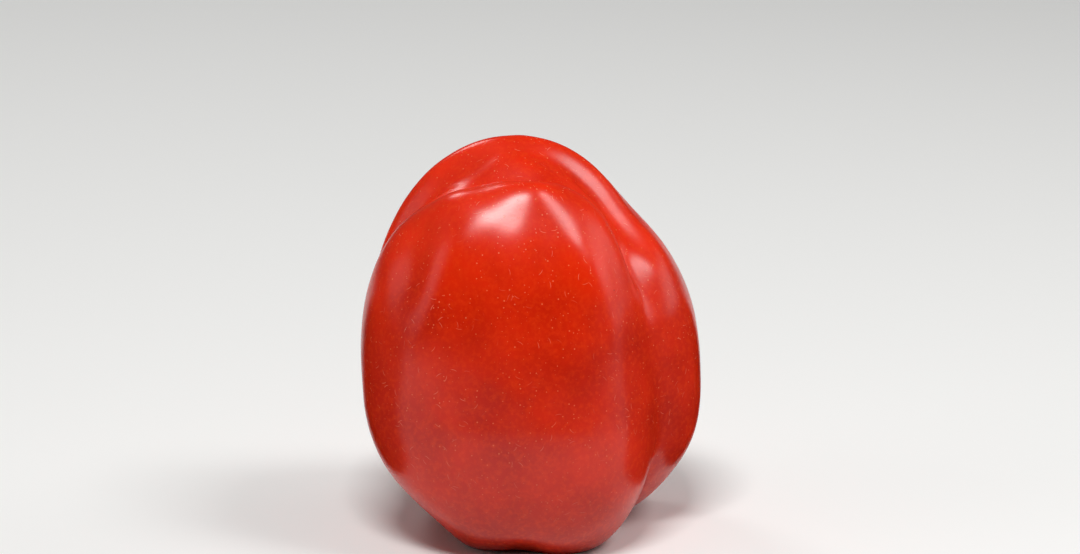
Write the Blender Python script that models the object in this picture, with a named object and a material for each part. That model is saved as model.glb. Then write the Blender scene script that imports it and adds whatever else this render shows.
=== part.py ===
"""A ripe plum tomato that stands on its stem end.

The fruit is one solid. Two lobes have grown together in it, a lower one in front and a taller one behind.
A furrow runs over the top between them and down both sides, and it fades at mid-height. The front lobe has
a shallow valley down the middle of its shoulder and a notch at its base. The stem end is underneath, a
hollow with a corky scar, and the fruit stands on the swellings around it.
"""

import math
from typing import NamedTuple

import bmesh
import bpy
import numpy as np


class Lobe(NamedTuple):
    """One lobe of the fruit, a superellipsoid with a different half-width on each side.

    A power of 2 gives an ellipse and a higher one a squarer curve: plan_power as seen from above, the
    others as seen from the side, over the top towards the front, over the rest of the top, and under the
    base. Its upright axis leans by lean and lean_back, and bow curves it sideways.
    """

    x: float
    y: float
    left: float
    right: float
    front: float
    back: float
    top: float
    base: float
    waist: float
    plan_power: float
    top_power: float
    front_top_power: float
    base_power: float
    lean: float
    lean_back: float
    bow: float


class Swell(NamedTuple):
    """A soft local rise of the surface, or a dip where its height is negative."""

    x: float
    y: float
    z: float
    spread: float
    upright: float
    height: float


# The point inside the fruit that its surface is measured from. It lies under the furrow, so that the mesh
# follows the furrow, and the stem end is straight below it.
CENTRE = np.array((-0.0004, -0.0022, 0.0310))
# Where the middle of the finished shape lies, which is moved to x = y = 0.
MIDDLE = np.array((0.0006, 0.0019, 0.0))

FRONT_LOBE = Lobe(x=-0.0003, y=-0.0024, left=0.0262, right=0.0211, front=0.0190, back=0.0082,
                  top=0.0603, base=-0.0018, waist=0.0237, plan_power=2.04, top_power=2.54,
                  front_top_power=3.31, base_power=2.04, lean=-0.080, lean_back=0.174, bow=1.62)
BACK_LOBE = Lobe(x=0.0005, y=0.0075, left=0.0267, right=0.0276, front=0.0158, back=0.0183,
                 top=0.0639, base=-0.0013, waist=0.0274, plan_power=2.56, top_power=1.86,
                 front_top_power=2.19, base_power=2.45, lean=-0.073, lean_back=-0.004, bow=-0.91)
# How widely the lobes blend where they meet, as a share of their size. The furrow between them fills up
# around mid-height.
FURROW_BLEND = 0.010
FURROW_FILL = 0.039
FURROW_FILL_SPREAD = 0.012
# How much deeper the furrow is cut at the top and at the base, and its half-width as a share of the lobes.
# At the top the shift, another share, sets the cut into the back lobe's side, behind the front lobe's lip.
FURROW_TOP_DEPTH = 0.0034
FURROW_TOP_SHIFT = 0.065
FURROW_BASE_DEPTH = 0.0008
FURROW_WIDTH = 0.09
# Heights between which the cuts and the other relief fade in, from nothing to full.
FURROW_TOP_FADE = (0.036, 0.050)
FURROW_BASE_FADE = (0.016, 0.006)
BLOSSOM_FADE = (0.040, 0.050)
STEM_FADE = (0.012, 0.006)
RIPPLE_FADE = (0.004, 0.016)

# Rises and dips, each with its middle, its spread across, its spread upright and its height.
SHOULDER_LEFT = Swell(x=-0.0090, y=-0.0130, z=0.0570, spread=0.0050, upright=0.0050, height=0.0006)
SHOULDER_MIDDLE = Swell(x=-0.0020, y=-0.0125, z=0.0590, spread=0.0050, upright=0.0050, height=-0.0004)
SHOULDER_RIGHT = Swell(x=0.0055, y=-0.0130, z=0.0570, spread=0.0040, upright=0.0050, height=-0.0003)
SHOULDER_VALLEY = Swell(x=0.0022, y=-0.0150, z=0.0550, spread=0.0030, upright=0.0075, height=-0.0005)
RIDGE_TOP = Swell(x=0.0080, y=-0.0135, z=0.0540, spread=0.0035, upright=0.0050, height=0.0004)
RIDGE_MIDDLE = Swell(x=0.0115, y=-0.0140, z=0.0480, spread=0.0035, upright=0.0060, height=0.0012)
RIDGE_FOOT = Swell(x=0.0140, y=-0.0150, z=0.0390, spread=0.0040, upright=0.0070, height=0.0004)
LEFT_RIDGE_TOP = Swell(x=-0.0120, y=-0.0140, z=0.0530, spread=0.0035, upright=0.0050, height=0.0008)
LEFT_RIDGE_MIDDLE = Swell(x=-0.0150, y=-0.0145, z=0.0450, spread=0.0035, upright=0.0070, height=0.0003)
LEFT_RIDGE_FOOT = Swell(x=-0.0170, y=-0.0145, z=0.0340, spread=0.0035, upright=0.0070, height=0.0004)
LEFT_FLANK_DIP = Swell(x=-0.0200, y=-0.0100, z=0.0460, spread=0.0045, upright=0.0060, height=-0.0014)
LIP_LEFT = Swell(x=-0.0120, y=-0.0070, z=0.0580, spread=0.0045, upright=0.0040, height=0.0010)
LIP_SIDE_DIP = Swell(x=-0.0190, y=-0.0060, z=0.0530, spread=0.0045, upright=0.0050, height=-0.0008)
LIP_MIDDLE = Swell(x=-0.0030, y=-0.0080, z=0.0600, spread=0.0050, upright=0.0040, height=0.0010)
LIP_RIGHT = Swell(x=0.0015, y=-0.0075, z=0.0600, spread=0.0040, upright=0.0030, height=0.0012)
DOME_LEFT_DIP = Swell(x=-0.0090, y=0.0020, z=0.0610, spread=0.0060, upright=0.0050, height=-0.0016)
DOME_RIGHT_DIP = Swell(x=0.0090, y=0.0020, z=0.0610, spread=0.0060, upright=0.0050, height=-0.0004)
TOP_RISE = Swell(x=0.0000, y=0.0080, z=0.0640, spread=0.0080, upright=0.0060, height=0.0006)
TOP_RIGHT_RISE = Swell(x=0.0080, y=0.0090, z=0.0610, spread=0.0065, upright=0.0060, height=0.0006)
RIGHT_TOP_DIP = Swell(x=0.0175, y=0.0080, z=0.0520, spread=0.0065, upright=0.0060, height=-0.0010)
RIGHT_SIDE_RISE = Swell(x=0.0265, y=0.0080, z=0.0370, spread=0.0080, upright=0.0080, height=0.0004)
LEFT_LOW_RISE = Swell(x=-0.0250, y=-0.0010, z=0.0125, spread=0.0070, upright=0.0065, height=0.0003)
RIGHT_LOW_DIP = Swell(x=0.0225, y=0.0000, z=0.0080, spread=0.0065, upright=0.0065, height=-0.0008)
FRONT_NOTCH = Swell(x=-0.0006, y=-0.0150, z=0.0000, spread=0.0040, upright=0.0045, height=-0.0012)
LEFT_FOOT_DIP = Swell(x=-0.0170, y=-0.0060, z=0.0060, spread=0.0055, upright=0.0050, height=-0.0007)
LEFT_FOOT = Swell(x=-0.0085, y=-0.0080, z=0.0010, spread=0.0045, upright=0.0040, height=0.0012)
RIGHT_FOOT = Swell(x=0.0105, y=-0.0080, z=0.0020, spread=0.0050, upright=0.0050, height=0.0006)
BACK_VALLEY = Swell(x=-0.0040, y=0.0270, z=0.0400, spread=0.0045, upright=0.0160, height=-0.0008)
SWELLS = (
    SHOULDER_LEFT, SHOULDER_MIDDLE, SHOULDER_RIGHT, SHOULDER_VALLEY, RIDGE_TOP, RIDGE_MIDDLE,
    RIDGE_FOOT, LEFT_RIDGE_TOP, LEFT_RIDGE_MIDDLE, LEFT_RIDGE_FOOT, LEFT_FLANK_DIP, LIP_LEFT,
    LIP_SIDE_DIP, LIP_MIDDLE, LIP_RIGHT, DOME_LEFT_DIP, DOME_RIGHT_DIP, TOP_RISE, TOP_RIGHT_RISE,
    RIGHT_TOP_DIP, RIGHT_SIDE_RISE, LEFT_LOW_RISE, RIGHT_LOW_DIP, FRONT_NOTCH, LEFT_FOOT_DIP, LEFT_FOOT,
    RIGHT_FOOT, BACK_VALLEY,
)

# The blossom end is a small hollow down in the furrow, with the raised dot of the flower's scar in it.
BLOSSOM_X = 0.0000
BLOSSOM_Y = -0.0022
BLOSSOM_HOLLOW_DEPTH = 0.0014
BLOSSOM_HOLLOW_RADIUS = 0.0030
BLOSSOM_SCAR_RADIUS = 0.0007
BLOSSOM_SCAR_HEIGHT = 0.0002

STEM_HOLLOW_DEPTH = 0.0044
STEM_HOLLOW_RADIUS = 0.0062
SCAR_RADIUS = 0.0028
SCAR_SIDES = 5
SCAR_ANGULARITY = 0.07
SCAR_THICKNESS = 0.00045
SCAR_RIM_HEIGHT = 0.00030
SCAR_PIT_DEPTH = 0.00040
# As shares of the scar's radius: where its edge starts and is full, its rim's middle and spread, its pit.
SCAR_EDGE = (1.12, 0.94)
SCAR_RIM_AT = 0.86
SCAR_RIM_SPREAD = 0.16
SCAR_PIT_SPREAD = 0.32

# Unevenness of the skin: height, and the wave numbers per metre along X, Y and Z of three crossing waves.
RIPPLE_HEIGHT = 0.00005
RIPPLES = ((190.0, 90.0, 120.0, 0.4), (-110.0, 170.0, 150.0, 2.1), (70.0, -130.0, 230.0, 4.0))

# Mesh: segments round the fruit, rings from end to end, and how far the rings gather towards the ends.
SEGMENTS = 88
RINGS = 52
RING_GATHER = 0.62
NEAREST = 0.004
FURTHEST = 0.060
HALVINGS = 30
TINY = 1e-9


def lobe_level(points, lobe):
    """Returns 0 on the lobe's surface, less inside it and more outside."""
    height = points[:, 2] - lobe.waist
    across = points[:, 0] - lobe.x - lobe.lean * height - lobe.bow * height ** 2
    along = points[:, 1] - lobe.y - lobe.lean_back * height
    side_part = (np.abs(across) / np.where(across > 0.0, lobe.right, lobe.left)) ** lobe.plan_power
    end_part = (np.abs(along) / np.where(along > 0.0, lobe.back, lobe.front)) ** lobe.plan_power
    plan = (side_part + end_part) ** (1.0 / lobe.plan_power)
    frontness = np.where(along < 0.0, end_part, 0.0) / np.maximum(side_part + end_part, TINY)
    over_top = lobe.top_power + (lobe.front_top_power - lobe.top_power) * frontness
    above = height > 0.0
    reach = np.where(above, lobe.top - lobe.waist, lobe.waist - lobe.base)
    power = np.where(above, over_top, lobe.base_power)
    return (plan ** power + np.abs(height / reach) ** power) ** (1.0 / power) - 1.0


def blend(first, second, width):
    """Joins two levels, with the crease between them filled to a soft curve."""
    gap = np.abs(first - second) / width
    return np.minimum(first, second) - width * np.log1p(np.exp(-gap))


def front_and_back_levels(points):
    """Returns the level of the front lobe and that of the back lobe."""
    return lobe_level(points, FRONT_LOBE), lobe_level(points, BACK_LOBE)


def fruit_level(points):
    """Joins the front lobe to the back lobe along the furrow."""
    front, back = front_and_back_levels(points)
    from_middle = (points[:, 2] - CENTRE[2]) / FURROW_FILL_SPREAD
    width = FURROW_BLEND + FURROW_FILL * np.exp(-from_middle ** 2)
    return blend(front, back, width)


def lobe_reach(directions):
    """Finds how far the joined lobes reach from CENTRE along each direction, by halving."""
    near = np.full(len(directions), NEAREST)
    far = np.full(len(directions), FURTHEST)
    for _ in range(HALVINGS):
        middle = (near + far) / 2.0
        inside = fruit_level(CENTRE + directions * middle[:, None]) < 0.0
        near = np.where(inside, middle, near)
        far = np.where(inside, far, middle)
    return (near + far) / 2.0


def ramp(value, start, full):
    """Rises smoothly from 0 at start to 1 at full; full may be the smaller of the two."""
    part = np.clip((value - start) / (full - start), 0.0, 1.0)
    return part * part * (3.0 - 2.0 * part)


def swell_height(points, swell):
    """Returns the height of one soft rise at each point."""
    across = ((points[:, 0] - swell.x) ** 2 + (points[:, 1] - swell.y) ** 2) / swell.spread ** 2
    upright = ((points[:, 2] - swell.z) / swell.upright) ** 2
    return swell.height * np.exp(-across - upright)


def furrow_depth(points):
    """Returns how much deeper the furrow is cut, behind the lip at the top and between the lobes below."""
    front, back = front_and_back_levels(points)
    over_top = np.exp(-((front - back - FURROW_TOP_SHIFT) / FURROW_WIDTH) ** 2)
    under_base = np.exp(-((front - back) / FURROW_WIDTH) ** 2)
    depth = FURROW_TOP_DEPTH * over_top * ramp(points[:, 2], *FURROW_TOP_FADE)
    return depth + FURROW_BASE_DEPTH * under_base * ramp(points[:, 2], *FURROW_BASE_FADE)


def blossom_end_depth(points):
    """Returns the depth of the hollow on top, with the small raised dot of the blossom scar in it."""
    away = np.hypot(points[:, 0] - BLOSSOM_X, points[:, 1] - BLOSSOM_Y)
    on_top = ramp(points[:, 2], *BLOSSOM_FADE)
    hollow = BLOSSOM_HOLLOW_DEPTH * np.exp(-(away / BLOSSOM_HOLLOW_RADIUS) ** 2)
    dot = BLOSSOM_SCAR_HEIGHT * np.exp(-(away / BLOSSOM_SCAR_RADIUS) ** 4)
    return on_top * (hollow - dot)


def stem_end_depth(points):
    """Returns the depth of the hollow underneath, with the corky scar raised in the middle of it."""
    x = points[:, 0] - CENTRE[0]
    y = points[:, 1] - CENTRE[1]
    away = np.hypot(x, y)
    turn = np.arctan2(y, x)
    below = ramp(points[:, 2], *STEM_FADE)
    hollow = STEM_HOLLOW_DEPTH * np.exp(-(away / STEM_HOLLOW_RADIUS) ** 2)
    edge = away / (SCAR_RADIUS * (1.0 + SCAR_ANGULARITY * np.cos(SCAR_SIDES * turn)))
    disc = SCAR_THICKNESS * ramp(edge, *SCAR_EDGE)
    rim = SCAR_RIM_HEIGHT * np.exp(-((edge - SCAR_RIM_AT) / SCAR_RIM_SPREAD) ** 2)
    pit = SCAR_PIT_DEPTH * np.exp(-(edge / SCAR_PIT_SPREAD) ** 2)
    return below * (hollow - disc - rim + pit)


def ripple_height(points):
    """Returns the low unevenness of the skin, fading out on the base so that it stays even there."""
    total = np.zeros(len(points))
    for along_x, along_y, along_z, phase in RIPPLES:
        total += np.sin(points @ np.array((along_x, along_y, along_z)) + phase)
    return RIPPLE_HEIGHT * total * ramp(points[:, 2], *RIPPLE_FADE)


def gather_rings(directions):
    """Moves the rings of a sphere towards its two ends, where the fruit has its finest relief."""
    polar = np.arccos(np.clip(-directions[:, 2], -1.0, 1.0))
    turn = np.arctan2(directions[:, 1], directions[:, 0])
    polar -= RING_GATHER * np.sin(2.0 * polar) / 2.0
    return np.stack((np.sin(polar) * np.cos(turn), np.sin(polar) * np.sin(turn), -np.cos(polar)), axis=1)


def fruit_points(directions):
    """Returns the fruit's surface point along each direction from CENTRE, standing on z = 0."""
    reach = lobe_reach(directions)
    points = CENTRE + directions * reach[:, None]
    depth = furrow_depth(points) + blossom_end_depth(points) + stem_end_depth(points)
    depth -= ripple_height(points)
    for swell in SWELLS:
        depth -= swell_height(points, swell)
    points = CENTRE - MIDDLE + directions * (reach - depth)[:, None]
    points[:, 2] = np.maximum(points[:, 2], 0.0)
    return points


def skin_material():
    """Makes the ripe red skin."""
    material = bpy.data.materials.new("tomato_skin")
    material.use_nodes = True
    shader = material.node_tree.nodes["Principled BSDF"]
    shader.inputs["Base Color"].default_value = (0.56, 0.020, 0.008, 1.0)
    shader.inputs["Roughness"].default_value = 0.22
    shader.inputs["Metallic"].default_value = 0.0
    return material


def make_tomato(collection):
    """Shapes the fruit from a sphere and adds it to the collection."""
    sphere = bmesh.new()
    bmesh.ops.create_uvsphere(sphere, u_segments=SEGMENTS, v_segments=RINGS, radius=1.0)
    directions = np.array([vertex.co[:] for vertex in sphere.verts], dtype=float)
    directions /= np.linalg.norm(directions, axis=1)[:, None]
    points = fruit_points(gather_rings(directions))
    for vertex, point in zip(sphere.verts, points):
        vertex.co = point
    bmesh.ops.recalc_face_normals(sphere, faces=sphere.faces)
    mesh = bpy.data.meshes.new("tomato")
    sphere.to_mesh(mesh)
    sphere.free()
    mesh.shade_smooth()
    mesh.set_sharp_from_angle(angle=math.radians(50.0))
    mesh.materials.append(skin_material())
    tomato = bpy.data.objects.new("tomato", mesh)
    collection.objects.link(tomato)
    return tomato


def main():
    """Clears the scene and builds the tomato."""
    for old in list(bpy.data.objects):
        bpy.data.objects.remove(old)
    collection = bpy.data.collections.new("Tomato")
    bpy.context.scene.collection.children.link(collection)
    make_tomato(collection)


main()
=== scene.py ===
"""A ripe plum tomato standing on its stem end, with its skin, its corky scar and a studio to show it in.

The fruit has the form of its solid model, two lobes grown together along a furrow. It is laid out here on a
finer grid, with the small unevenness of the skin and the cracked cork of the stem scar in the mesh.
"""

import logging
import math
from dataclasses import dataclass
from enum import Enum
from typing import Optional, Union

import bpy
import numpy as np
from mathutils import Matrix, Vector


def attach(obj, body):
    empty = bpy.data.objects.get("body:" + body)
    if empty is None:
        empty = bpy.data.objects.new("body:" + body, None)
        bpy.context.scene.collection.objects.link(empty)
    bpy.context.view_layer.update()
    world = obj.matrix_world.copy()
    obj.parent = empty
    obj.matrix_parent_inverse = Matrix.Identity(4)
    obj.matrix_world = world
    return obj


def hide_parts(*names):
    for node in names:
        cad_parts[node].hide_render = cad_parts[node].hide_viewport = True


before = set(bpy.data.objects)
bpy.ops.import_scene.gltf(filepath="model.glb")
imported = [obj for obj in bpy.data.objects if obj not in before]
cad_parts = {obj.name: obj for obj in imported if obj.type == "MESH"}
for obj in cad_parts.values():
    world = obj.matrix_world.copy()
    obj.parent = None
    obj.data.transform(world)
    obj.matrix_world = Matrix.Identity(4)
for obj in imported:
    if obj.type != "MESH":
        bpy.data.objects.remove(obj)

LOG = logging.getLogger("tomato")
MM = 0.001
TINY = 1e-9
SMOOTH = "SMOOTHSTEP"
VECTORS = "ShaderNodeVectorMath"
Tree = bpy.types.NodeTree
Node = bpy.types.Node
Term = Union[float, tuple, bpy.types.Node, bpy.types.NodeSocket]


class Side(Enum):
    """Which side of the fruit something stands on, as the sign of its X."""

    LEFT = -1
    RIGHT = 1


def linear(code: str, alpha: float = 1.0) -> tuple[float, float, float, float]:
    """Turns an sRGB colour into linear light.

    Args:
        code: The colour as #RRGGBB.
        alpha: The opacity to add.

    Returns:
        The colour as linear red, green, blue and alpha.
    """
    parts = [int(code[start:start + 2], 16) / 255.0 for start in (1, 3, 5)]
    light = [part / 12.92 if part <= 0.04045 else ((part + 0.055) / 1.055) ** 2.4 for part in parts]
    return light[0], light[1], light[2], alpha


def fill(node: Node, values: dict) -> None:
    """Sets or links a node's inputs, and sets its properties.

    Args:
        node: The node.
        values: What to put in, by input name, input number or property name. A node stands for its first
            output in use.
    """
    for name, value in values.items():
        if isinstance(value, bpy.types.Node):
            value = next(socket for socket in value.outputs if socket.enabled)
        if isinstance(value, bpy.types.NodeSocket):
            node.id_data.links.new(value, node.inputs[name])
        elif isinstance(name, int) or name in node.inputs:
            node.inputs[name].default_value = value
        else:
            setattr(node, name, value)


def add_node(tree: Tree, kind: str, values: Optional[dict] = None) -> Node:
    """Adds a node.

    Args:
        tree: The node tree to add to.
        kind: The node's type.
        values: What to fill it with.

    Returns:
        The new node.
    """
    node = tree.nodes.new(kind)
    fill(node, values or {})
    return node


def calculate(tree: Tree, operation: str, *terms: Term, kind: str = "ShaderNodeMath") -> Node:
    """Adds a sum.

    Args:
        tree: The node tree to add to.
        operation: What the sum does.
        *terms: Its terms in order.
        kind: The node's type, for numbers or for VECTORS.

    Returns:
        The sum's node.
    """
    return add_node(tree, kind, {"operation": operation, **dict(enumerate(terms))})


def ranged(tree: Tree, value: Term, start: Term, full: Term, low: Term = 0.0, high: Term = 1.0,
           curve: str = "LINEAR") -> Node:
    """Adds a node that runs from low to high as a value runs from start to full, and is level beyond.

    Args:
        tree: The node tree to add to.
        value: The value.
        start: Where the run starts.
        full: Where it ends.
        low: What it gives at the start.
        high: What it gives at the end.
        curve: LINEAR or SMOOTH.

    Returns:
        The node.
    """
    return add_node(tree, "ShaderNodeMapRange",
                    {"interpolation_type": curve, "Value": value, "From Min": start, "From Max": full,
                     "To Min": low, "To Max": high})


def mixed(tree: Tree, share: Term, under: Term, over: Term) -> Node:
    """Lays one colour over another.

    Args:
        tree: The node tree to add to.
        share: How far the upper colour covers the lower one.
        under: The lower colour.
        over: The upper colour.

    Returns:
        The mixed colour's node.
    """
    return add_node(tree, "ShaderNodeMix", {"data_type": "RGBA", 0: share, 6: under, 7: over})


def noise(tree: Tree, place: Node, size: float, detail: float, roughness: float = 0.5) -> Node:
    """Adds noise that is fixed to the object.

    Args:
        tree: The material's node tree.
        place: Its texture coordinates.
        size: The noise's size in metres.
        detail: How many finer layers it has.
        roughness: How strong these are.

    Returns:
        The noise's node.
    """
    return add_node(tree, "ShaderNodeTexNoise",
                    {"Scale": 1.0 / size, "Detail": detail, "Roughness": roughness,
                     "Vector": place.outputs["Object"]})


def marked(tree: Tree, name: str) -> bpy.types.NodeSocket:
    """Returns the amount that one of the mesh's own attributes holds."""
    return add_node(tree, "ShaderNodeAttribute", {"attribute_name": name}).outputs["Fac"]


def stand(name: str, data: bpy.types.ID) -> bpy.types.Object:
    """Makes an object of a mesh, light or camera and puts it in the scene.

    Args:
        name: The object's name.
        data: What it shows.

    Returns:
        The object.
    """
    thing = bpy.data.objects.new(name, data)
    bpy.context.scene.collection.objects.link(thing)
    return thing


def ring_quads(around: int, rings: int, first: int = 0) -> list[list[int]]:
    """Joins neighbouring rings of points with quads, facing outwards where the rings run upwards.

    Args:
        around: How many points each ring has.
        rings: How many rings there are.
        first: The number of the first point.

    Returns:
        The quads.
    """
    ring = np.arange(around)
    following = (ring + 1) % around
    row = first + np.arange(rings - 1)[:, None] * around
    return np.stack((row + ring, row + following, row + around + following, row + around + ring),
                    -1).reshape(-1, 4).tolist()


def ramp(value: np.ndarray, start: float, full: float) -> np.ndarray:
    """Rises smoothly from 0 at start to 1 at full; full may be the smaller of the two.

    Args:
        value: The values to judge.
        start: Where the rise starts.
        full: Where the rise is complete.

    Returns:
        A share from 0 to 1 for each value.
    """
    part = np.clip((value - start) / (full - start), 0.0, 1.0)
    return part * part * (3.0 - 2.0 * part)


@dataclass(frozen=True)
class Lobe:
    """One lobe of the fruit, a superellipsoid with a different half-width on each side.

    A power of 2 gives an ellipse and a higher one a squarer curve: plan_power as seen from above, the
    others as seen from the side, over the top towards the front, over the rest of the top, and under the
    base. Its upright axis leans by lean and lean_back, and bow curves it sideways.
    """

    x: float
    y: float
    left: float
    right: float
    front: float
    back: float
    top: float
    base: float
    waist: float
    plan_power: float
    top_power: float
    front_top_power: float
    base_power: float
    lean: float
    lean_back: float
    bow: float

    def level(self, points: np.ndarray) -> np.ndarray:
        """Works out (plan^p + |height / reach|^p)^(1/p) - 1, with plan the same sum of the two plan axes.

        Args:
            points: Points in metres, one a row.

        Returns:
            0 on the lobe's surface, less inside it and more outside.
        """
        height = points[:, 2] - self.waist
        across = points[:, 0] - self.x - self.lean * height - self.bow * height ** 2
        along = points[:, 1] - self.y - self.lean_back * height
        side_part = (np.abs(across) / np.where(across > 0.0, self.right, self.left)) ** self.plan_power
        end_part = (np.abs(along) / np.where(along > 0.0, self.back, self.front)) ** self.plan_power
        plan = (side_part + end_part) ** (1.0 / self.plan_power)
        frontness = np.where(along < 0.0, end_part, 0.0) / np.maximum(side_part + end_part, TINY)
        over_top = self.top_power + (self.front_top_power - self.top_power) * frontness
        above = height > 0.0
        reach = np.where(above, self.top - self.waist, self.waist - self.base)
        power = np.where(above, over_top, self.base_power)
        return (plan ** power + np.abs(height / reach) ** power) ** (1.0 / power) - 1.0


@dataclass(frozen=True)
class Swell:
    """A soft local rise of the surface, or a dip where its height is negative."""

    name: str
    x: float
    y: float
    z: float
    spread: float
    upright: float
    height: float

    def rise(self, points: np.ndarray) -> np.ndarray:
        """Works out height * exp(-(distance across / spread)^2 - (distance upright / upright)^2).

        Args:
            points: Points in metres, one a row.

        Returns:
            How far each point rises.
        """
        across = ((points[:, 0] - self.x) ** 2 + (points[:, 1] - self.y) ** 2) / self.spread ** 2
        upright = ((points[:, 2] - self.z) / self.upright) ** 2
        return self.height * np.exp(-across - upright)


@dataclass(frozen=True)
class Furrow:
    """The furrow between the lobes: how softly they blend, and how much deeper it is cut at both ends."""

    blend: float = 0.010
    fill: float = 0.039
    fill_spread: float = 12.0 * MM
    top_depth: float = 3.4 * MM
    top_shift: float = 0.065
    top_fade: tuple[float, float] = (36.0 * MM, 50.0 * MM)
    base_depth: float = 0.8 * MM
    base_fade: tuple[float, float] = (16.0 * MM, 6.0 * MM)
    width: float = 0.09

    def join(self, front: np.ndarray, back: np.ndarray, height: np.ndarray) -> np.ndarray:
        """Takes the lesser level, less width * ln(1 + exp(-|difference| / width)), which fills the crease.

        Args:
            front: The front lobe's level.
            back: The back lobe's level.
            height: Height above the middle of the fruit.

        Returns:
            The level of the two lobes together.
        """
        width = self.blend + self.fill * np.exp(-(height / self.fill_spread) ** 2)
        return np.minimum(front, back) - width * np.log1p(np.exp(-np.abs(front - back) / width))

    def depth(self, front: np.ndarray, back: np.ndarray, z: np.ndarray) -> np.ndarray:
        """Adds up the extra cuts at the top and at the base.

        Each is a bell over the difference of the levels. The one at the base is deepest where the lobes are
        level, and the one at the top lies behind that by top_shift.

        Args:
            front: The front lobe's level.
            back: The back lobe's level.
            z: Height above the surface that the fruit stands on.

        Returns:
            The extra depth.
        """
        over_top = np.exp(-((front - back - self.top_shift) / self.width) ** 2)
        under_base = np.exp(-((front - back) / self.width) ** 2)
        return (self.top_depth * over_top * ramp(z, *self.top_fade)
                + self.base_depth * under_base * ramp(z, *self.base_fade))


@dataclass(frozen=True)
class BlossomEnd:
    """The small hollow down in the furrow on top, with the dot that the flower left."""

    x: float = 0.0
    y: float = -2.2 * MM
    hollow_depth: float = 1.4 * MM
    hollow_radius: float = 3.0 * MM
    dot_radius: float = 0.7 * MM
    dot_height: float = 0.2 * MM
    dot_edge: tuple[float, float] = (1.25, 0.6)
    fade: tuple[float, float] = (40.0 * MM, 50.0 * MM)

    def away(self, points: np.ndarray) -> np.ndarray:
        """Returns how far each point is from the dot, in plan."""
        return np.hypot(points[:, 0] - self.x, points[:, 1] - self.y)

    def depth(self, points: np.ndarray) -> np.ndarray:
        """Takes the dot's flat-topped bell from a bell-shaped hollow, on top of the fruit alone.

        Args:
            points: Points in metres, one a row.

        Returns:
            How deep each point is sunk.
        """
        away = self.away(points)
        hollow = self.hollow_depth * np.exp(-(away / self.hollow_radius) ** 2)
        dot = self.dot_height * np.exp(-(away / self.dot_radius) ** 4)
        return ramp(points[:, 2], *self.fade) * (hollow - dot)

    def mark(self, points: np.ndarray) -> np.ndarray:
        """Marks the brown dot.

        Args:
            points: Points in metres, one a row.

        Returns:
            1 on the dot and 0 away from it.
        """
        outer, inner = self.dot_edge
        dot = ramp(self.away(points), outer * self.dot_radius, inner * self.dot_radius)
        return ramp(points[:, 2], *self.fade) * dot


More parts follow.
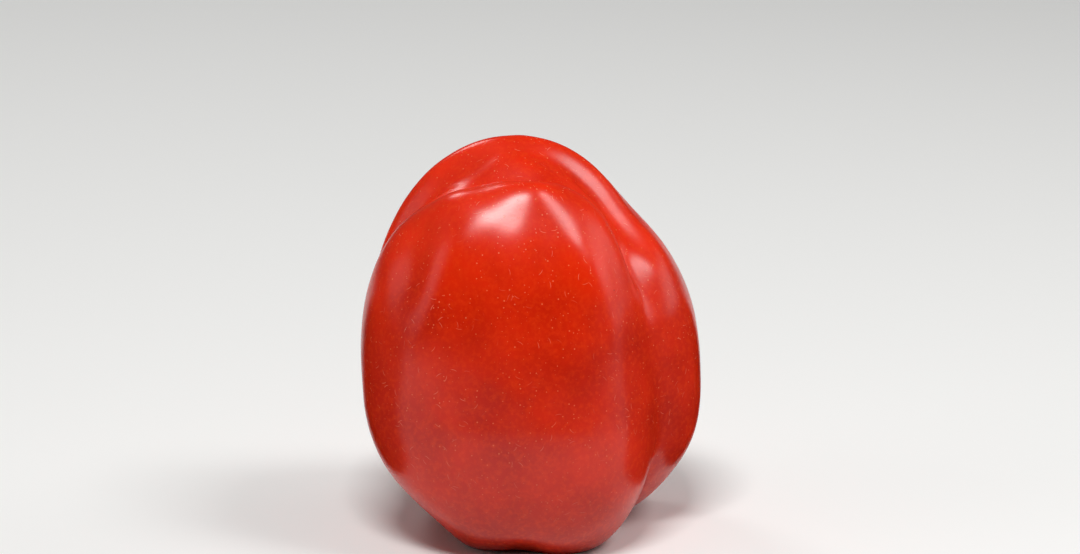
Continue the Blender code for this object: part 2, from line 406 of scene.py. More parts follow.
@dataclass(frozen=True)
class StemEnd:
    """The hollow underneath, with the five-sided corky scar raised in the middle of it.

    The edges and places on the scar are shares of its radius, the first value of each pair where its ramp
    starts and the second where it is full.
    """

    x: float = -0.4 * MM
    y: float = -2.2 * MM
    hollow_depth: float = 4.4 * MM
    hollow_radius: float = 6.2 * MM
    scar_radius: float = 2.8 * MM
    sides: int = 5
    angularity: float = 0.07
    thickness: float = 0.45 * MM
    disc_edge: tuple[float, float] = (1.12, 0.94)
    cork_edge: tuple[float, float] = (1.10, 0.98)
    collar_outside: tuple[float, float] = (2.6, 1.1)
    collar_inside: tuple[float, float] = (0.95, 1.10)
    rim_height: float = 0.30 * MM
    rim_at: float = 0.86
    rim_spread: float = 0.16
    pit_depth: float = 0.40 * MM
    pit_spread: float = 0.32
    dark_pit_spread: float = 0.30
    crack_depth: float = 0.16 * MM
    crack_width: float = 0.20
    crack_inside: tuple[float, float] = (0.22, 0.45)
    crack_outside: tuple[float, float] = (1.02, 0.85)
    dark_outside: tuple[float, float] = (1.05, 0.85)
    cracks: int = 11
    flake_height: float = 0.10 * MM
    flake_outside: tuple[float, float] = (1.10, 0.95)
    flake_inside: tuple[float, float] = (0.35, 0.6)
    fade: tuple[float, float] = (12.0 * MM, 6.0 * MM)

    def place(self, points: np.ndarray) -> tuple[np.ndarray, np.ndarray, np.ndarray]:
        """Measures each point from the scar's middle, in plan.

        Args:
            points: Points in metres, one a row.

        Returns:
            The distance, the turn, and the distance as a share of the scar's radius at that turn.
        """
        x = points[:, 0] - self.x
        y = points[:, 1] - self.y
        away = np.hypot(x, y)
        turn = np.arctan2(y, x)
        edge = away / (self.scar_radius * (1.0 + self.angularity * np.cos(self.sides * turn)))
        return away, turn, edge

    def crack(self, turn: np.ndarray, edge: np.ndarray) -> np.ndarray:
        """Works out exp(-(1 - cos(bent)) / width), with bent = cracks * turn + 1.7 sin(3 turn + 5 edge).

        Args:
            turn: Each point's turn round the scar.
            edge: Its distance as a share of the scar's radius.

        Returns:
            1 in the middle of a crack and nearly 0 between them, from outside the pit onwards.
        """
        bent = self.cracks * turn + 1.7 * np.sin(3.0 * turn + 5.0 * edge)
        return np.exp(-((1.0 - np.cos(bent)) / self.crack_width)) * ramp(edge, *self.crack_inside)

    def depth(self, points: np.ndarray) -> np.ndarray:
        """Takes the scar's disc and rim from a bell-shaped hollow, and adds its pit, cracks and flakes.

        The flakes are low steps round the rim, sin(17 turn + 2 sin(4 turn)) * cos(9 edge).

        Args:
            points: Points in metres, one a row.

        Returns:
            How deep the hollow and the scar's relief sink each point.
        """
        away, turn, edge = self.place(points)
        hollow = self.hollow_depth * np.exp(-(away / self.hollow_radius) ** 2)
        disc = self.thickness * ramp(edge, *self.disc_edge)
        rim = self.rim_height * np.exp(-((edge - self.rim_at) / self.rim_spread) ** 2)
        pit = self.pit_depth * np.exp(-(edge / self.pit_spread) ** 2)
        crack = self.crack_depth * self.crack(turn, edge) * ramp(edge, *self.crack_outside)
        flake = self.flake_height * np.sin(17.0 * turn + 2.0 * np.sin(4.0 * turn)) * np.cos(9.0 * edge)
        flake *= ramp(edge, *self.flake_outside) * ramp(edge, *self.flake_inside)
        return ramp(points[:, 2], *self.fade) * (hollow - disc - rim + pit + crack - flake)

    def cork(self, points: np.ndarray) -> np.ndarray:
        """Returns how corky each point is."""
        return ramp(points[:, 2], *self.fade) * ramp(self.place(points)[2], *self.cork_edge)

    def cracked(self, points: np.ndarray) -> np.ndarray:
        """Marks the dark pit and the dark cracks in the cork.

        Args:
            points: Points in metres, one a row.

        Returns:
            1 in the pit and in the middle of a crack, and 0 on pale cork and on skin.
        """
        _, turn, edge = self.place(points)
        crack = self.crack(turn, edge) * ramp(edge, *self.dark_outside)
        return self.cork(points) * np.clip(crack + np.exp(-(edge / self.dark_pit_spread) ** 2), 0.0, 1.0)

    def collar(self, points: np.ndarray) -> np.ndarray:
        """Marks the orange band round the cork, which ripens last.

        Args:
            points: Points in metres, one a row.

        Returns:
            1 where it is most orange and 0 on the cork and far from it.
        """
        edge = self.place(points)[2]
        return (ramp(points[:, 2], *self.fade) * ramp(edge, *self.collar_outside)
                * ramp(edge, *self.collar_inside))


@dataclass(frozen=True)
class FruitForm:
    """The fruit as a surface measured out from a point inside it, in metres."""

    centre: tuple[float, float, float] = (-0.0004, -0.0022, 0.0310)
    middle: tuple[float, float, float] = (0.0006, 0.0019, 0.0)
    front: Lobe = Lobe(x=-0.0003, y=-0.0024, left=0.0262, right=0.0211, front=0.0190, back=0.0082,
                       top=0.0603, base=-0.0018, waist=0.0237, plan_power=2.04, top_power=2.54,
                       front_top_power=3.31, base_power=2.04, lean=-0.080, lean_back=0.174, bow=1.62)
    back: Lobe = Lobe(x=0.0005, y=0.0075, left=0.0267, right=0.0276, front=0.0158, back=0.0183,
                      top=0.0639, base=-0.0013, waist=0.0274, plan_power=2.56, top_power=1.86,
                      front_top_power=2.19, base_power=2.45, lean=-0.073, lean_back=-0.004, bow=-0.91)
    furrow: Furrow = Furrow()
    blossom: BlossomEnd = BlossomEnd()
    stem: StemEnd = StemEnd()
    swells: tuple[Swell, ...] = (
        Swell("shoulder left", x=-0.009, y=-0.013, z=0.057, spread=0.005, upright=0.005, height=0.0006),
        Swell("shoulder middle", x=-0.002, y=-0.0125, z=0.059, spread=0.005, upright=0.005, height=-0.0004),
        Swell("shoulder right", x=0.0055, y=-0.013, z=0.057, spread=0.004, upright=0.005, height=-0.0003),
        Swell("shoulder valley", x=0.0022, y=-0.015, z=0.055, spread=0.003, upright=0.0075, height=-0.0005),
        Swell("ridge top", x=0.008, y=-0.0135, z=0.054, spread=0.0035, upright=0.005, height=0.0004),
        Swell("ridge middle", x=0.0115, y=-0.014, z=0.048, spread=0.0035, upright=0.006, height=0.0012),
        Swell("ridge foot", x=0.014, y=-0.015, z=0.039, spread=0.004, upright=0.007, height=0.0004),
        Swell("left ridge top", x=-0.012, y=-0.014, z=0.053, spread=0.0035, upright=0.005, height=0.0008),
        Swell("left ridge middle", x=-0.015, y=-0.0145, z=0.045, spread=0.0035, upright=0.007, height=0.0003),
        Swell("left ridge foot", x=-0.017, y=-0.0145, z=0.034, spread=0.0035, upright=0.007, height=0.0004),
        Swell("left flank dip", x=-0.02, y=-0.01, z=0.046, spread=0.0045, upright=0.006, height=-0.0014),
        Swell("lip left", x=-0.012, y=-0.007, z=0.058, spread=0.0045, upright=0.004, height=0.001),
        Swell("lip side dip", x=-0.019, y=-0.006, z=0.053, spread=0.0045, upright=0.005, height=-0.0008),
        Swell("lip middle", x=-0.003, y=-0.008, z=0.06, spread=0.005, upright=0.004, height=0.001),
        Swell("lip right", x=0.0015, y=-0.0075, z=0.06, spread=0.004, upright=0.003, height=0.0012),
        Swell("dome left dip", x=-0.009, y=0.002, z=0.061, spread=0.006, upright=0.005, height=-0.0016),
        Swell("dome right dip", x=0.009, y=0.002, z=0.061, spread=0.006, upright=0.005, height=-0.0004),
        Swell("top rise", x=0.0, y=0.008, z=0.064, spread=0.008, upright=0.006, height=0.0006),
        Swell("top right rise", x=0.008, y=0.009, z=0.061, spread=0.0065, upright=0.006, height=0.0006),
        Swell("right top dip", x=0.0175, y=0.008, z=0.052, spread=0.0065, upright=0.006, height=-0.001),
        Swell("right side rise", x=0.0265, y=0.008, z=0.037, spread=0.008, upright=0.008, height=0.0004),
        Swell("left low rise", x=-0.025, y=-0.001, z=0.0125, spread=0.007, upright=0.0065, height=0.0003),
        Swell("right low dip", x=0.0225, y=0.0, z=0.008, spread=0.0065, upright=0.0065, height=-0.0008),
        Swell("front notch", x=-0.0006, y=-0.015, z=0.0, spread=0.004, upright=0.0045, height=-0.0012),
        Swell("left foot dip", x=-0.017, y=-0.006, z=0.006, spread=0.0055, upright=0.005, height=-0.0007),
        Swell("left foot", x=-0.0085, y=-0.008, z=0.001, spread=0.0045, upright=0.004, height=0.0012),
        Swell("right foot", x=0.0105, y=-0.008, z=0.002, spread=0.005, upright=0.005, height=0.0006),
        Swell("back valley", x=-0.004, y=0.027, z=0.04, spread=0.0045, upright=0.016, height=-0.0008),
    )
    ripple_height: float = 0.05 * MM
    ripples: tuple[tuple[float, ...], ...] = ((190.0, 90.0, 120.0, 0.4), (-110.0, 170.0, 150.0, 2.1),
                                              (70.0, -130.0, 230.0, 4.0))
    ripple_fade: tuple[float, float] = (4.0 * MM, 16.0 * MM)
    nearest: float = 4.0 * MM
    furthest: float = 60.0 * MM
    halvings: int = 30

    def level(self, points: np.ndarray) -> np.ndarray:
        """Returns the level of the two lobes joined along the furrow."""
        return self.furrow.join(self.front.level(points), self.back.level(points),
                                points[:, 2] - self.centre[2])

    def reach(self, directions: np.ndarray) -> np.ndarray:
        """Finds how far the joined lobes reach along each direction, by halving the gap again and again.

        Args:
            directions: Unit vectors from the centre, one a row.

        Returns:
            The distance from the centre to the surface.
        """
        near = np.full(len(directions), self.nearest)
        far = np.full(len(directions), self.furthest)
        for _ in range(self.halvings):
            half = (near + far) / 2.0
            inside = self.level(np.array(self.centre) + directions * half[:, None]) < 0.0
            near = np.where(inside, half, near)
            far = np.where(inside, far, half)
        return (near + far) / 2.0

    def ripple(self, points: np.ndarray) -> np.ndarray:
        """Adds up crossing waves, sin(k . point + phase), and fades them out towards the base.

        Args:
            points: Points in metres, one a row.

        Returns:
            How far each point rises.
        """
        total = np.zeros(len(points))
        for along_x, along_y, along_z, phase in self.ripples:
            total += np.sin(points @ np.array((along_x, along_y, along_z)) + phase)
        return self.ripple_height * total * ramp(points[:, 2], *self.ripple_fade)

    def smooth_points(self, directions: np.ndarray) -> tuple[np.ndarray, np.ndarray]:
        """Returns the reach of the joined lobes along each direction and the points there."""
        reach = self.reach(directions)
        return reach, np.array(self.centre) + directions * reach[:, None]

    def depth(self, points: np.ndarray) -> np.ndarray:
        """Adds up the relief: the furrow, the two ends, the ripple and the swells.

        Args:
            points: Points in metres, one a row.

        Returns:
            How deep each point is sunk.
        """
        depth = self.furrow.depth(self.front.level(points), self.back.level(points), points[:, 2])
        depth += self.blossom.depth(points) + self.stem.depth(points) - self.ripple(points)
        for swell in self.swells:
            depth -= swell.rise(points)
        return depth


@dataclass(frozen=True)
class TomatoSkinFinish:
    """Ripe tomato skin, a waxy cuticle over red flesh that lets light in.

    It gives a soft gloss with a fine grain in it, a red that is painted darker lower down and brighter
    higher up and darkest at the base as painted shade and light, small pale flecks and short scratches, and
    tan cork with dark cracks in the stem scar. The shares say how far each layer covers what is under it.
    """

    slot: str = "tomato_skin"
    ripe: str = "#EE2D05"
    deep: str = "#B81902"
    # Painted shade: the dark red laid in towards the base, where the fruit stands in its own shade.
    base: str = "#7E1202"
    warm: str = "#EC420E"
    fleck: str = "#F08E60"
    scratch: str = "#F29474"
    speck: str = "#5A1408"
    collar: str = "#D8601C"
    cork: str = "#A98A5B"
    cork_pale: str = "#CDB583"
    cork_dark: str = "#3E2A17"
    blossom: str = "#6B4423"
    roughness: float = 0.235
    smear_roughness: float = 0.03
    smear_size: float = 6.0 * MM
    cork_roughness: float = 0.85
    ior: float = 1.45
    light_inside: float = 0.35
    depth_of_light: float = 2.6 * MM
    depth_by_colour: tuple[float, float, float] = (1.0, 0.12, 0.05)
    blotch_size: float = 9.0 * MM
    blotch_range: tuple[float, float] = (0.10, 0.90)
    # Painted shade and light: the blotches are pushed to the darker red low on the fruit and the brighter red
    # high up, by height alone.
    painted_shade_shift: tuple[float, float] = (-0.13, 0.19)
    shaded_height: float = 34.0 * MM
    lit_height: float = 50.0 * MM
    base_height: float = 13.0 * MM
    # How far the painted shade at the base covers the red at the very bottom.
    base_shade_share: float = 0.60
    mottle_size: float = 0.8 * MM
    mottle_range: tuple[float, float] = (0.45, 0.75)
    mottle_share: float = 0.38
    grain_size: float = 0.42 * MM
    grain_height: float = 0.005 * MM
    fleck_spacing: float = 0.85 * MM
    fleck_reach: float = 0.13 * MM
    fleck_small: float = 0.05 * MM
    fleck_large: float = 0.16 * MM
    fleck_rarity: float = 2.2
    fleck_share: float = 0.50
    fleck_rise: float = 1.6
    scratch_spacing: float = 2.1 * MM
    scratch_reach: float = 0.45 * MM
    scratch_length: float = 0.60 * MM
    scratch_width: float = 0.065 * MM
    scratch_bend: float = 0.35 / MM
    scratch_share: float = 0.48
    patch_size: float = 11.0 * MM
    patch_range: tuple[float, float] = (0.40, 0.58)
    speck_spacing: float = 7.0 * MM
    speck_reach: float = 0.7 * MM
    speck_share: float = 0.85
    marks_at_base: float = 0.3
    collar_share: float = 0.6
    grit_size: float = 0.30 * MM
    crumb_size: float = 0.22 * MM
    crumb_height: float = 0.12 * MM

    def material(self) -> bpy.types.Material:
        """Makes the skin, with the cork and the blossom dot where the mesh's own attributes put them.

        Returns:
            The material.
        """
        skin = bpy.data.materials.new("ripe_tomato_skin")
        skin.use_nodes = True
        tree = skin.node_tree
        place = add_node(tree, "ShaderNodeTexCoord")
        cork = marked(tree, "cork")
        flecks = self.scattered(tree, place, self.fleck_spacing, self.fleck_reach)
        specks = self.scattered(tree, place, self.speck_spacing, self.speck_reach)
        crowded = ranged(tree, noise(tree, place, self.patch_size, 1.0), *self.patch_range)
        scratches = calculate(tree, "MULTIPLY", self.scratches(tree, place), crowded)
        flesh = self.flesh_colour(tree, place, flecks, specks, scratches)
        smear = ranged(tree, noise(tree, place, self.smear_size, 3.0), 0.3, 0.7, self.roughness,
                       self.roughness + self.smear_roughness)
        rough = add_node(tree, "ShaderNodeMix", {0: cork, 2: smear, 3: self.cork_roughness})
        fill(tree.nodes["Principled BSDF"], {
            "Base Color": self.ends_colour(tree, place, flesh, cork), "Roughness": rough,
            "Normal": self.relief(tree, place, flecks, scratches, cork), "Metallic": 0.0,
            "IOR": self.ior, "Subsurface Weight": self.light_inside,
            "Subsurface Radius": self.depth_by_colour, "Subsurface Scale": self.depth_of_light})
        return skin

    def offset(self, tree: Tree, place: Node, spacing: float) -> tuple[Node, Node, Node]:
        """Scatters points through space and measures from the nearest one, along the skin and through it.

        Args:
            tree: The material's node tree.
            place: Its texture coordinates.
            spacing: The points' spacing in metres.

        Returns:
            The cell node, the offset along the skin, and the distance through it.
        """
        here, normal = place.outputs["Object"], place.outputs["Normal"]
        cells = add_node(tree, "ShaderNodeTexVoronoi",
                         {"Scale": 1.0 / spacing, "Randomness": 1.0, "Vector": here})
        gap = calculate(tree, "SUBTRACT", here, cells.outputs["Position"], kind=VECTORS)
        through = calculate(tree, "DOT_PRODUCT", gap, normal, kind=VECTORS)
        inward = add_node(tree, VECTORS, {"operation": "SCALE", 0: normal, "Scale": through})
        return cells, calculate(tree, "SUBTRACT", gap, inward, kind=VECTORS), through

    def scattered(self, tree: Tree, place: Node, spacing: float, reach: float) -> Node:
        """Puts a round spot on the skin wherever a scattered point lies close under it.

        The spot's radius lies between fleck_small and fleck_large, as chance ^ fleck_rarity picks it.

        Args:
            tree: The material's node tree.
            place: Its texture coordinates.
            spacing: The scattered points' spacing in metres.
            reach: How far from the skin a point may lie.

        Returns:
            1 in a spot and 0 outside, with a soft edge.
        """
        cells, along, through = self.offset(tree, place, spacing)
        chance = add_node(tree, "ShaderNodeSeparateColor", {"Color": cells.outputs["Color"]})
        uneven = calculate(tree, "POWER", chance, self.fleck_rarity)
        radius = ranged(tree, uneven, 0.0, 1.0, self.fleck_small, self.fleck_large)
        core = calculate(tree, "MULTIPLY", radius, 0.5)
        distance = calculate(tree, "LENGTH", along, kind=VECTORS)
        spot = ranged(tree, distance, core, radius, 1.0, 0.0, SMOOTH)
        return calculate(tree, "MULTIPLY", spot, calculate(tree, "COMPARE", through, 0.0, reach))

    def scratches(self, tree: Tree, place: Node) -> Node:
        """Puts a short bent line on the skin wherever a scattered point lies close under it.

        The line runs along the skin in the point's own chance direction. Its bend is scratch_bend times
        the square of the distance along it.

        Args:
            tree: The material's node tree.
            place: Its texture coordinates.

        Returns:
            1 in a scratch and 0 outside, with a soft edge.
        """
        cells, along, through = self.offset(tree, place, self.scratch_spacing)
        normal = place.outputs["Normal"]
        chance = calculate(tree, "SUBTRACT", cells.outputs["Color"], (0.5, 0.5, 0.5), kind=VECTORS)
        sideways = calculate(tree, "CROSS_PRODUCT", chance, normal, kind=VECTORS)
        across = calculate(tree, "NORMALIZE", sideways, kind=VECTORS)
        forward = calculate(tree, "CROSS_PRODUCT", across, normal, kind=VECTORS)
        run = calculate(tree, "DOT_PRODUCT", along, forward, kind=VECTORS)
        aside = calculate(tree, "DOT_PRODUCT", along, across, kind=VECTORS)
        square = calculate(tree, "MULTIPLY", run, run)
        bent = calculate(tree, "MULTIPLY_ADD", square, self.scratch_bend, aside)
        line = ranged(tree, calculate(tree, "ABSOLUTE", bent), 0.3 * self.scratch_width,
                      self.scratch_width, 1.0, 0.0)
        length = ranged(tree, calculate(tree, "ABSOLUTE", run), 0.5 * self.scratch_length,
                        self.scratch_length, 1.0, 0.0)
        near = calculate(tree, "COMPARE", through, 0.0, self.scratch_reach)
        return calculate(tree, "MULTIPLY", calculate(tree, "MULTIPLY", line, length), near)

    def flesh_colour(self, tree: Tree, place: Node, flecks: Node, specks: Node, scratches: Node) -> Node:
        """Mixes the reds in soft blotches and a fine mottle, then lays flecks, scratches and specks on.

        The blotches lean to the darker red lower down and the riper red higher up as painted shade and
        light, a darker red is painted in towards the base as painted shade, and there are fewer marks there.

        Args:
            tree: The material's node tree.
            place: Its texture coordinates.
            flecks: Where the pale flecks are.
            specks: Where the dark specks are.
            scratches: Where the scratches are.

        Returns:
            The colour of the skin without its ends.
        """
        height = add_node(tree, "ShaderNodeSeparateXYZ", {0: place.outputs["Object"]}).outputs["Z"]
        # Painted shade and light: the blotches shift to the darker red lower down and the brighter red higher
        # up.
        upper = ranged(tree, height, self.shaded_height, self.lit_height, *self.painted_shade_shift, SMOOTH)
        blotch = calculate(tree, "ADD", noise(tree, place, self.blotch_size, 3.0), upper)
        reds = mixed(tree, ranged(tree, blotch, *self.blotch_range), linear(self.deep), linear(self.ripe))
        # Painted shade: the darker red is mixed in towards the base.
        lower = ranged(tree, height, 0.0, self.base_height, self.base_shade_share, 0.0)
        reds = mixed(tree, lower, reds, linear(self.base))
        mottle = noise(tree, place, self.mottle_size, 2.0, 0.6)
        mottled = ranged(tree, mottle, *self.mottle_range, 0.0, self.mottle_share)
        reds = mixed(tree, mottled, reds, linear(self.warm))
        for share, mask, code in ((self.fleck_share, flecks, self.fleck),
                                  (self.scratch_share, scratches, self.scratch),
                                  (self.speck_share, specks, self.speck)):
            amount = ranged(tree, height, 0.4 * self.base_height, 2.0 * self.base_height,
                            self.marks_at_base * share, share)
            reds = mixed(tree, calculate(tree, "MULTIPLY", mask, amount), reds, linear(code))
        return reds

    def ends_colour(self, tree: Tree, place: Node, colour: Node, cork: Term) -> Node:
        """Lays the orange collar, the cork with its dark cracks and the blossom dot over the skin.

        Args:
            tree: The material's node tree.
            place: Its texture coordinates.
            colour: The colour of the skin.
            cork: Where the cork is.

        Returns:
            The colour of the whole fruit.
        """
        gritty = ranged(tree, noise(tree, place, self.grit_size, 4.0, 0.65), 0.35, 0.65)
        tan = mixed(tree, gritty, linear(self.cork), linear(self.cork_pale))
        tan = mixed(tree, marked(tree, "cracked"), tan, linear(self.cork_dark))
        faint = calculate(tree, "MULTIPLY", marked(tree, "collar"), self.collar_share)
        whole = mixed(tree, faint, colour, linear(self.collar))
        whole = mixed(tree, cork, whole, tan)
        return mixed(tree, marked(tree, "blossom"), whole, linear(self.blossom))

    def relief(self, tree: Tree, place: Node, flecks: Node, scratches: Node, cork: Term) -> Node:
        """Raises the skin's grain and flecks, sinks its scratches and roughens the cork.

        Args:
            tree: The material's node tree.
            place: Its texture coordinates.
            flecks: Where the pale flecks are.
            scratches: Where the scratches are.
            cork: Where the cork is.

        Returns:
            The bent normal.
        """
        grain = noise(tree, place, self.grain_size, 2.0, 0.55)
        raised = calculate(tree, "MULTIPLY_ADD", flecks, self.fleck_rise, grain)
        sunk = calculate(tree, "MULTIPLY_ADD", scratches, -1.0, raised)
        skin = add_node(tree, "ShaderNodeBump",
                        {"Strength": 1.0, "Distance": self.grain_height, "Height": sunk})
        corky = calculate(tree, "MULTIPLY", noise(tree, place, self.crumb_size, 4.0), cork)
        return add_node(tree, "ShaderNodeBump", {"Strength": 1.0, "Distance": self.crumb_height,
                                                 "Height": corky, "Normal": skin})


@dataclass
class Tomato:
    """The fruit's skin as one closed grid, from its stem scar up to its blossom end."""

    form: FruitForm = FruitForm()
    finish: TomatoSkinFinish = TomatoSkinFinish()
    around: int = 400
    rings: int = 238
    gather: float = 0.62
    dimple_height: float = 0.003 * MM
    dimples: int = 14
    dimple_size: float = 4.0 * MM
    dimple_paces: tuple[float, float] = (0.7, 1.8)
    dimple_fade: tuple[float, float] = (3.0 * MM, 12.0 * MM)
    seed: int = 11

    def directions(self) -> np.ndarray:
        """Lays directions out in rings that gather towards both ends, with one more at each end.

        The angle from straight down is t - gather * sin(2 t) / 2, for t in even steps.

        Returns:
            Unit vectors, one a row: the lower end, the rings from below, then the upper end.
        """
        steps = np.arange(1, self.rings + 1) * math.pi / (self.rings + 1)
        polar = steps - self.gather * np.sin(2.0 * steps) / 2.0
        turn = np.arange(self.around) * 2.0 * math.pi / self.around
        turn, polar = np.meshgrid(turn, polar)
        rings = np.stack((np.sin(polar) * np.cos(turn), np.sin(polar) * np.sin(turn), -np.cos(polar)), -1)
        ends = np.array(((0.0, 0.0, -1.0), (0.0, 0.0, 1.0)))
        return np.concatenate((ends[:1], rings.reshape(-1, 3), ends[1:]))

    def faces(self) -> list[list[int]]:
        """Joins the rings.

        Returns:
            Quads between neighbouring rings and a fan of triangles at each end, all facing outwards.
        """
        ring = np.arange(self.around)
        following = (ring + 1) % self.around
        last = 1 + (self.rings - 1) * self.around
        lower = np.stack((np.zeros_like(ring), 1 + following, 1 + ring), -1)
        upper = np.stack((np.full_like(ring, last + self.around), last + ring, last + following), -1)
        return ring_quads(self.around, self.rings, 1) + lower.tolist() + upper.tolist()

    def dimple(self, points: np.ndarray) -> np.ndarray:
        """Adds up waves in seeded chance directions, for the faint waviness of the skin.

        Args:
            points: Points in metres, one a row.

        Returns:
            How far each point rises.
        """
        chance = np.random.default_rng(self.seed)
        ways = chance.normal(size=(self.dimples, 3))
        ways /= np.linalg.norm(ways, axis=1)[:, None]
        pace = 2.0 * math.pi / (self.dimple_size * chance.uniform(*self.dimple_paces, self.dimples))
        phase = chance.uniform(0.0, 2.0 * math.pi, self.dimples)
        waves = np.sin(points @ (ways * pace[:, None]).T + phase).sum(axis=1)
        return self.dimple_height * waves * ramp(points[:, 2], *self.dimple_fade)

    def build(self) -> bpy.types.Object:
        """Shapes the grid, marks the cork and the blossom dot on it and dresses it.

        Returns:
            The finished fruit.
        """
        directions = self.directions()
        reach, smooth = self.form.smooth_points(directions)
        depth = self.form.depth(smooth) - self.dimple(smooth)
        base = np.array(self.form.centre) - np.array(self.form.middle)
        points = base + directions * (reach - depth)[:, None]
        points[:, 2] = np.maximum(points[:, 2], 0.0)
        mesh = bpy.data.meshes.new("tomato_skin")
        mesh.from_pydata(points.tolist(), [], self.faces())
        marks = {"cork": self.form.stem.cork(smooth), "cracked": self.form.stem.cracked(smooth),
                 "collar": self.form.stem.collar(smooth), "blossom": self.form.blossom.mark(smooth)}
        for name, amount in marks.items():
            mesh.attributes.new(name, "FLOAT", "POINT").data.foreach_set("value", amount.astype(np.float32))
        mesh.update()
        mesh.shade_smooth()
        mesh.materials.append(self.finish.material())
        skin = stand("tomato_skin", mesh)
        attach(skin, "root")
        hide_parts("tomato")
        LOG.info("tomato skin: %d points, %d faces", len(mesh.vertices), len(mesh.polygons))
        return skin


@dataclass(frozen=True)
class MattFinish:
    """A matt stuff of one colour, with a weak gloss or none."""

    name: str
    colour: str
    roughness: float
    gloss: float

    def material(self) -> bpy.types.Material:
        """Makes the material.

        Returns:
            The material.
        """
        stuff = bpy.data.materials.new(self.name)
        stuff.use_nodes = True
        fill(stuff.node_tree.nodes["Principled BSDF"],
             {"Base Color": linear(self.colour), "Roughness": self.roughness,
              "Specular IOR Level": self.gloss})
        return stuff


WHITE_PAPER = MattFinish("matt_white_paper", colour="#F8F8F6", roughness=0.9, gloss=0.5)
BLACK_FELT = MattFinish("black_felt", colour="#0B0706", roughness=1.0, gloss=0.0)


@dataclass(frozen=True)
class DarkCard:
    """A card of felt bent round an upright line beside the fruit, which keeps the gloss there dark.

    Only its dark reflection is wanted, so the camera doesn't see it, it casts no shadow and it takes no
    light from the floor.
    """

    side: Side
    away: float = 56.0 * MM
    back: float = 4.0 * MM
    radius: float = 26.0 * MM
    height: float = 42.0 * MM
    around: int = 48
    rings: int = 15
    finish: MattFinish = BLACK_FELT

    def build(self) -> bpy.types.Object:
        """Bends the card to radius * (cos(turn), sin(turn)) * sqrt(1 - rise^6), which rounds its top in.

        Returns:
            The card.
        """
        turns = np.linspace(0.0, 2.0 * math.pi, self.around + 1)[:-1]
        turn, rise = np.meshgrid(turns, np.linspace(0.0, 1.0, self.rings))
        pinch = np.sqrt(np.maximum(1.0 - rise ** 6, 0.0)) * self.radius
        points = np.stack((self.side.value * self.away + pinch * np.cos(turn),
                           self.back + pinch * np.sin(turn), rise * self.height), -1).reshape(-1, 3)
        mesh = bpy.data.meshes.new(f"dark_card_{self.side.name.lower()}")
        mesh.from_pydata(points.tolist(), [], ring_quads(self.around, self.rings))
        mesh.materials.append(self.finish.material())
        card = stand(mesh.name, mesh)
        card.visible_camera = False
        card.visible_diffuse = False
        card.visible_shadow = False
        return card


@dataclass(frozen=True)
class Softbox:
    """A soft light over the fruit, to one side of the middle."""

    side: Side
    turn: float
    height: float
    distance: float
    width: float
    depth: float
    radiance: float

    def build(self, target: Vector) -> bpy.types.Object:
        """Hangs the light and aims it.

        Its place is target + distance * (cos(height) * sin(turn), -cos(height) * cos(turn), sin(height)),
        with turn measured from the front towards its side. Its power is radiance * pi * area.

        Args:
            target: The point that it shines at.

        Returns:
            The light.
        """
        turn = math.radians(self.turn) * self.side.value
        height = math.radians(self.height)
        away = Vector((math.cos(height) * math.sin(turn), -math.cos(height) * math.cos(turn),
                       math.sin(height)))
        lamp = bpy.data.lights.new(f"softbox_{self.side.name.lower()}", "AREA")
        lamp.shape = "RECTANGLE"
        lamp.size = self.width
        lamp.size_y = self.depth
        lamp.energy = self.radiance * math.pi * self.width * self.depth
        light = stand(lamp.name, lamp)
        light.location = target + away * self.distance
        light.rotation_euler = (-away).to_track_quat("-Z", "Y").to_euler()
        return light


@dataclass(frozen=True)
class Glow:
    """A soft round patch of light in the room, brightest in its middle.

    It starts where a direction's dot product with its own way passes start.
    """

    name: str
    way: tuple[float, float, float]
    start: float
    light: float


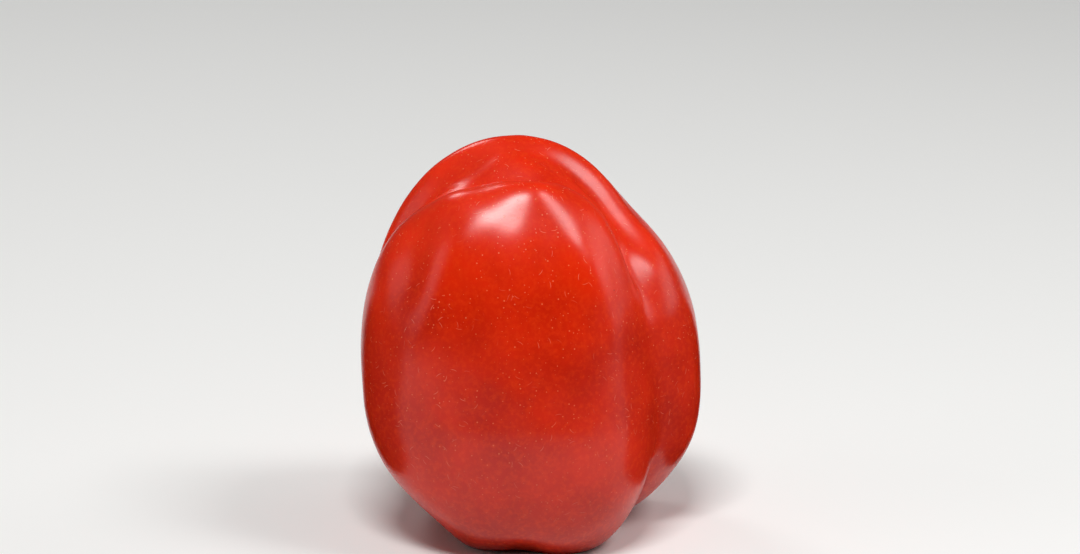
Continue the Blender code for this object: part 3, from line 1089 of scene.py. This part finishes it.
@dataclass
class Studio:
    """A white paper floor, soft lights above, and a room that is dark in front and pale behind.

    The room's strengths work on a new world's own dark grey, a twentieth of white. Each edge is a pair of
    values of a direction's Y or Z, where the walls' light starts and where it is full.
    """

    paper: MattFinish = WHITE_PAPER
    floor_half: float = 4.0
    softboxes: tuple[Softbox, ...] = (
        Softbox(Side.LEFT, turn=11.0, height=64.0, distance=0.80, width=0.30, depth=0.15, radiance=29.0),
        Softbox(Side.RIGHT, turn=74.0, height=52.0, distance=0.80, width=0.22, depth=0.28, radiance=10.0),
        Softbox(Side.LEFT, turn=149.0, height=42.0, distance=0.80, width=0.20, depth=0.20, radiance=6.0),
    )
    cards: tuple[DarkCard, ...] = (DarkCard(Side.LEFT, away=60.0 * MM), DarkCard(Side.RIGHT, back=9.0 * MM))
    target: tuple[float, float, float] = (0.0, 0.0, 0.045)
    front_light: float = 0.015
    left_light: float = 3.4
    right_light: float = 2.8
    low_share: float = 0.08
    rise_edge: tuple[float, float] = (0.06, 0.45)
    front_edge: tuple[float, float] = (-0.40, -0.14)
    back_edge: tuple[float, float] = (0.1, 0.6)
    across_half: float = 0.4
    back_light: float = 1.4
    wall_curve: float = 0.45
    glows: tuple[Glow, ...] = (
        Glow("overhead", way=(-0.03, -0.26, 0.965), start=0.74, light=1.8),
        Glow("left window", way=(-0.92, -0.22, 0.33), start=0.94, light=20.0),
        Glow("right window", way=(0.93, 0.18, 0.32), start=0.90, light=30.0),
    )
    backdrop: float = 0.96

    def build(self) -> None:
        """Lays the floor, hangs the lights and lights the room."""
        half = self.floor_half
        mesh = bpy.data.meshes.new("floor")
        mesh.from_pydata([(-half, -half, 0.0), (half, -half, 0.0), (half, half, 0.0), (-half, half, 0.0)],
                         [], [(0, 1, 2, 3)])
        mesh.materials.append(self.paper.material())
        floor = stand("floor", mesh)
        for softbox in self.softboxes:
            softbox.build(Vector(self.target))
        for card in self.cards:
            card.build()
        self.room()
        LOG.info("studio: floor, %d soft lights and the room", len(self.softboxes))

    def room(self) -> None:
        """Lights the room by direction: dark in front, pale behind, and walls at the sides.

        The walls curve forward at the sides by wall_curve * x^2 and grow paler as they rise, and the soft
        glows lie over them.
        """
        world = bpy.data.worlds.new("white_room")
        world.use_nodes = True
        bpy.context.scene.world = world
        tree = world.node_tree
        way = add_node(tree, "ShaderNodeTexCoord").outputs["Generated"]
        x, y, z = add_node(tree, "ShaderNodeSeparateXYZ", {0: way}).outputs
        across = ranged(tree, x, -self.across_half, self.across_half, self.left_light, self.right_light,
                        SMOOTH)
        rising = ranged(tree, z, *self.rise_edge, self.low_share, 1.0, SMOOTH)
        sides = calculate(tree, "MULTIPLY", across, rising)
        curved = calculate(tree, "MULTIPLY_ADD", calculate(tree, "MULTIPLY", x, x), self.wall_curve, y)
        aside = ranged(tree, curved, *self.front_edge, self.front_light, sides, SMOOTH)
        behind = ranged(tree, y, *self.back_edge, curve=SMOOTH)
        total = add_node(tree, "ShaderNodeMix", {0: behind, 2: aside, 3: self.back_light})
        for glow in self.glows:
            near = calculate(tree, "DOT_PRODUCT", way, glow.way, kind=VECTORS)
            shining = ranged(tree, near, glow.start, 1.0, 0.0, glow.light, SMOOTH)
            total = calculate(tree, "ADD", total, shining)
        path = add_node(tree, "ShaderNodeLightPath")
        seen = add_node(tree, "ShaderNodeMix",
                        {0: path.outputs["Is Camera Ray"], 2: total, 3: self.backdrop})
        fill(tree.nodes["Background"], {"Strength": seen})


@dataclass(frozen=True)
class PhotoCamera:
    """The camera, in front of the fruit and a little above it."""

    aim: tuple[float, float, float] = (1.34 * MM, -1.86 * MM, 42.65 * MM)
    elevation: float = 16.0
    distance: float = 620.0 * MM
    lens: float = 128.69

    def build(self) -> bpy.types.Object:
        """Stands the camera at aim + distance * (0, -cos(elevation), sin(elevation)), looking at aim.

        Returns:
            The camera.
        """
        rise = math.radians(self.elevation)
        away = Vector((0.0, -math.cos(rise), math.sin(rise)))
        lens = bpy.data.cameras.new("camera")
        lens.sensor_width = 36.0
        lens.lens = self.lens
        lens.clip_start = 0.01
        camera = stand("camera", lens)
        camera.location = Vector(self.aim) + away * self.distance
        camera.rotation_euler = (-away).to_track_quat("-Z", "Y").to_euler()
        bpy.context.scene.camera = camera
        return camera


def main() -> None:
    """Builds the camera, the fruit and the studio."""
    logging.basicConfig(level=logging.INFO, format="%(name)s: %(message)s")
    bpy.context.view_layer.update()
    PhotoCamera().build()
    LOG.info("camera: standing")
    Tomato().build()
    Studio().build()
    bpy.context.scene.view_settings.view_transform = "Standard"


if __name__ == "__main__":
    main()
